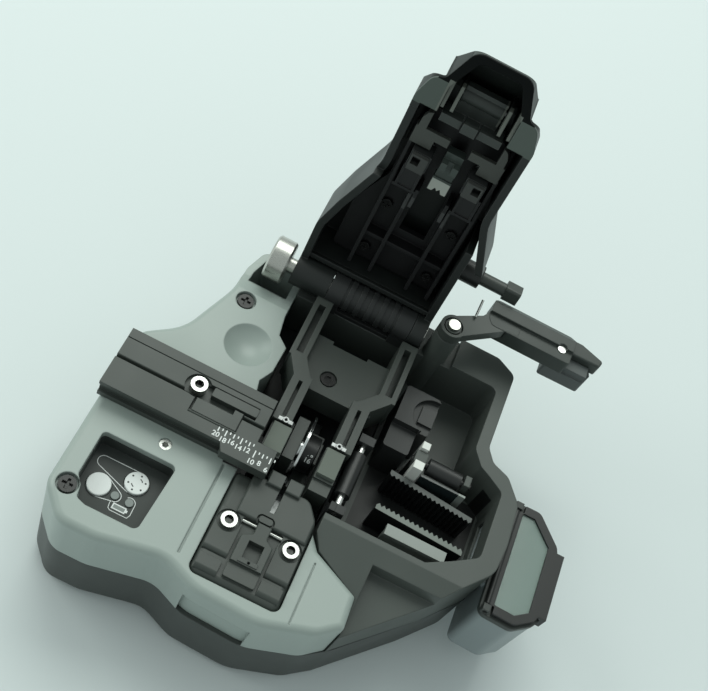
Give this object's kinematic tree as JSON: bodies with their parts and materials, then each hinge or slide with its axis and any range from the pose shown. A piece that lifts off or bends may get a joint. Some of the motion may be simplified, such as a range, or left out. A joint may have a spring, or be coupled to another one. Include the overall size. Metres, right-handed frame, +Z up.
{
  "type": "fibre cleaver",
  "caption": "Hand-held optical fibre cleaver: hinged lid with sprung clamps, sliding round blade, graduated fibre rail, scrap feed bay and collector, and a side arm that follows the lid.",
  "frame": {"origin": "on the underside of the base mat, straight below the point where the blade plane crosses the fibre axis", "axes": "+X to the right along the fibre towards the collector, +Y to the lid hinge at the back, +Z up"},
  "size_m": [0.1205, 0.1166, 0.1193],
  "materials": {
    "rubber": "matt",
    "black_plastic": "fine texture",
    "satin_black_metal": "satin black coat",
    "grey_cover": "cool satin grey",
    "panel_grey": "matt",
    "black_button": "satin",
    "indicator_light": "frosted",
    "black_fastener": "black oxide",
    "plated_steel": "bright nickel plate",
    "spring_steel": "satin",
    "blade_carbide": "ground",
    "pad_rubber": "matt",
    "roller_rubber": "matt",
    "comb_plastic": "matt",
    "clear_glaze": "clear",
    "white_plastic": "matt",
    "smoked_box": "frosted clear",
    "board_green": "solder mask",
    "cell_wrap": "shrink wrap",
    "flap_black": "satin"
  },
  "bodies": {
    "base": {"arm_pivot_pin": "plated_steel", "back_comb": "comb_plastic", "battery_cells": "cell_wrap", "battery_contacts": "spring_steel", "battery_door": "black_plastic", "bay_housing": "black_plastic", "black_screws": "black_fastener", "blade_guide_rail": "spring_steel", "blade_turn_motor": "spring_steel", "blade_unit_cover": "black_plastic", "chassis_plate": "satin_black_metal", "circuit_board": "board_green", "clamp_frame": "satin_black_metal", "comb_plates": "clear_glaze", "drive_case": "black_plastic", "front_comb": "comb_plastic", "hinge_block": "satin_black_metal", "hinge_spring": "spring_steel", "indicator_lights": "indicator_light", "indicator_panel": "panel_grey", "lower_case": "black_plastic", "lower_clamp_pads": "pad_rubber", "pad_clips": "spring_steel", "plated_fasteners": "plated_steel", "roller_bracket": "satin_black_metal", "rubber_mat": "rubber", "spacer_blocks": "white_plastic", "upper_cover": "grey_cover"},
    "lid": {"lid_shell": "black_plastic", "lid_frame": "satin_black_metal", "lid_screws": "black_fastener", "clamp_springs": "spring_steel", "latch_pin": "plated_steel", "hinge_pin": "plated_steel", "hinge_collar": "plated_steel", "lid_stub_shaft": "plated_steel"},
    "upper_clamp_l": {"upper_clamp_left": "satin_black_metal", "upper_pad_left": "pad_rubber"},
    "upper_clamp_r": {"upper_clamp_right": "satin_black_metal", "upper_pad_right": "pad_rubber"},
    "anvil_finger": {"anvil": "satin_black_metal"},
    "latch": {"thumb_latch": "black_plastic"},
    "side_arm": {"arm_link": "satin_black_metal", "arm_housing": "black_plastic", "arm_nose": "satin_black_metal", "arm_pad": "rubber", "arm_pin_and_wire": "plated_steel"},
    "carriage": {"blade_carriage": "satin_black_metal"},
    "blade_wheel": {"blade": "blade_carbide"},
    "adapter": {"fibre_adapter": "satin_black_metal", "adapter_screw": "plated_steel"},
    "flap": {"adapter_flap": "flap_black"},
    "collector": {"collector_box": "smoked_box", "collector_rim": "black_plastic"},
    "collector_cap": {"collector_lid": "clear_glaze"},
    "feed_roller": {"drive_roller": "roller_rubber"},
    "idle_roller": {"pinch_roller": "roller_rubber"},
    "scrap_feed": {"scrap_roller": "roller_rubber"},
    "link_key": {"link_button": "black_button"},
    "rotate_key": {"rotate_button": "black_button"}
  },
  "joints": [
    {"name": "lid_hinge", "type": "hinge", "parent": "base", "child": "lid", "pos_m": [0, 0.048, 0.0415], "axis": [1, 0, 0], "range_deg": [0, 100], "stiffness_Nm_per_rad": 0.02, "springref_deg": -20.05},
    {"name": "clamp_press_left", "type": "slide", "parent": "lid", "child": "upper_clamp_l", "axis": [0, 0.9848, -0.1736], "range_m": [0, 0.0008], "stiffness_N_per_m": 300, "deforming": ["clamp_springs"]},
    {"name": "clamp_press_right", "type": "slide", "parent": "lid", "child": "upper_clamp_r", "axis": [0, 0.9848, -0.1736], "range_m": [0, 0.0008], "stiffness_N_per_m": 300, "deforming": ["clamp_springs"]},
    {"name": "anvil_press", "type": "slide", "parent": "lid", "child": "anvil_finger", "axis": [0, 0.9848, -0.1736], "range_m": [0, 0.0008], "stiffness_N_per_m": 300, "deforming": ["clamp_springs"]},
    {"name": "latch_pivot", "type": "hinge", "parent": "lid", "child": "latch", "pos_m": [0.0003, 0.06579, 0.10437], "axis": [1, 0, 0], "range_deg": [-12, 0], "stiffness_Nm_per_rad": 0.01, "springref_deg": 5.73},
    {"name": "side_arm_pivot", "type": "hinge", "parent": "base", "child": "side_arm", "pos_m": [0.0207, 0.047, 0.049], "axis": [0, 0, 1], "range_deg": [-90, 0]},
    {"name": "carriage_stroke", "type": "slide", "parent": "base", "child": "carriage", "axis": [0, -1, 0], "range_m": [0, 0.012]},
    {"name": "blade_turn", "type": "hinge", "parent": "carriage", "child": "blade_wheel", "pos_m": [0, 0.0055, 0.0322], "axis": [1, 0, 0], "continuous": true},
    {"name": "adapter_slide", "type": "slide", "parent": "base", "child": "adapter", "axis": [-1, 0, 0], "range_m": [0, 0.012]},
    {"name": "flap_hinge", "type": "hinge", "parent": "adapter", "child": "flap", "pos_m": [-0.022, -0.0044, 0.0428], "axis": [1, 0, 0], "range_deg": [0, 60]},
    {"name": "collector_pull", "type": "slide", "parent": "base", "child": "collector", "axis": [1, 0, 0], "range_m": [0, 0.012]},
    {"name": "collector_lid_hinge", "type": "hinge", "parent": "collector", "child": "collector_cap", "pos_m": [0.0565, 0.004, 0.03215], "axis": [0, -1, 0], "range_deg": [0, 80]},
    {"name": "feed_roller_turn", "type": "hinge", "parent": "base", "child": "feed_roller", "pos_m": [0.0132, 0.0014, 0.0378], "axis": [0, 1, 0], "continuous": true},
    {"name": "idle_roller_turn", "type": "hinge", "parent": "base", "child": "idle_roller", "pos_m": [0.0132, 0.0014, 0.0334], "axis": [0, 1, 0], "continuous": true},
    {"name": "scrap_roller_turn", "type": "hinge", "parent": "base", "child": "scrap_feed", "pos_m": [0.0349, 0.0164, 0.0346], "axis": [1, 0, 0], "continuous": true},
    {"name": "link_press", "type": "slide", "parent": "base", "child": "link_key", "axis": [0, 0, -1], "range_m": [0, 0.0004], "stiffness_N_per_m": 300},
    {"name": "rotate_press", "type": "slide", "parent": "base", "child": "rotate_key", "axis": [0, 0, -1], "range_m": [0, 0.0004], "stiffness_N_per_m": 300}
  ],
  "couplings": [
    {"joint": "side_arm_pivot", "follows": "lid_hinge", "ratio": -0.9},
    {"joint": "carriage_stroke", "follows": "lid_hinge", "m_per_rad": 0.0068755},
    {"joint": "idle_roller_turn", "follows": "feed_roller_turn", "ratio": -1}
  ]
}
